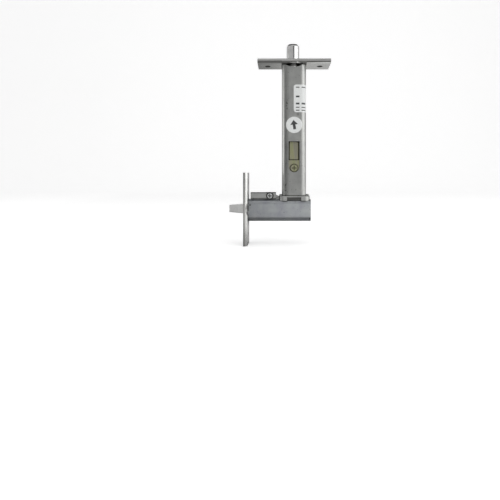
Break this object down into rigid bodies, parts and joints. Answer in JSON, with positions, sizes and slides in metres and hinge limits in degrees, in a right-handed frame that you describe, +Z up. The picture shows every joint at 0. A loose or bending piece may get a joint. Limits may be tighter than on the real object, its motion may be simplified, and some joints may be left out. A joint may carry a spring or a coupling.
{
  "type": "automatic flush bolt",
  "caption": "L-shaped automatic flush bolt for a wood door: an edge trigger and bell crank lift a round bolt through a guide plate.",
  "frame": {"origin": "on the face plate's back, its seat on the door's edge, on the centre line, 19.5 mm above the trigger's axis", "axes": "+X from the face plate into the door, +Y through the door's thickness, +Z up along the bolt, the way it is thrown"},
  "size_m": [0.0981, 0.0254, 0.1942],
  "materials": {
    "zinc_plated_steel": "bright zinc plated steel, drawn tube",
    "satin_chrome_plate": "satin chrome plated, brushed along its length",
    "polished_bolt_steel": "turned and polished steel",
    "zinc_dichromate": "olive yellow zinc dichromate",
    "cast_zinc": "tumbled zinc casting",
    "spring_steel": "drawn spring steel"
  },
  "bodies": {
    "case": {"face_plate": "satin_chrome_plate", "trigger_case": "zinc_plated_steel", "case_end_plug": "cast_zinc", "crank_bracket": "zinc_plated_steel", "crank_pivot_screw": "zinc_plated_steel", "pivot_nut": "zinc_plated_steel", "crank_washer_front": "zinc_plated_steel", "crank_washer_back": "zinc_plated_steel", "tube_foot": "zinc_plated_steel", "foot_rivet_1": "zinc_plated_steel", "foot_rivet_2": "zinc_plated_steel", "foot_rivet_3": "zinc_plated_steel", "foot_rivet_4": "zinc_plated_steel", "bolt_tube": "zinc_plated_steel", "guide_plate": "satin_chrome_plate", "guide_bush": "cast_zinc", "rod_guide": "cast_zinc"},
    "trigger": {"trigger": "cast_zinc", "trigger_bar": "cast_zinc", "trigger_pin": "spring_steel", "trigger_spring": "spring_steel"},
    "crank": {"crank_lever": "zinc_plated_steel", "lift_pin": "spring_steel", "drive_pin": "spring_steel"},
    "slide": {"bolt_slide": "zinc_dichromate", "clamp_plate": "zinc_dichromate", "clamp_screw": "zinc_dichromate", "clamp_washer": "zinc_plated_steel"},
    "bolt": {"bolt_head": "polished_bolt_steel", "bolt_rod": "polished_bolt_steel", "rod_pin": "spring_steel"}
  },
  "joints": [
    {"name": "bolt_throw", "type": "slide", "parent": "case", "child": "slide", "axis": [0, 0, 1], "range_m": [0, 0.01905], "stiffness_N_per_m": 300, "springref_m": -0.02},
    {"name": "trigger_travel", "type": "slide", "parent": "case", "child": "trigger", "axis": [1, 0, 0], "range_m": [0, 0.01048], "deforming": ["trigger_spring"]},
    {"name": "crank_turn", "type": "hinge", "parent": "case", "child": "crank", "pos_m": [0.0212, 0, -0.007], "axis": [0, -1, 0], "range_deg": [0, 50.5]},
    {"name": "bolt_adjust", "type": "slide", "parent": "slide", "child": "bolt", "axis": [0, 0, 1], "range_m": [-0.0164, 0]}
  ],
  "couplings": [
    {"joint": "trigger_travel", "follows": "bolt_throw", "ratio": 0.54911},
    {"joint": "crank_turn", "follows": "bolt_throw", "rad_per_m": 46.111}
  ]
}
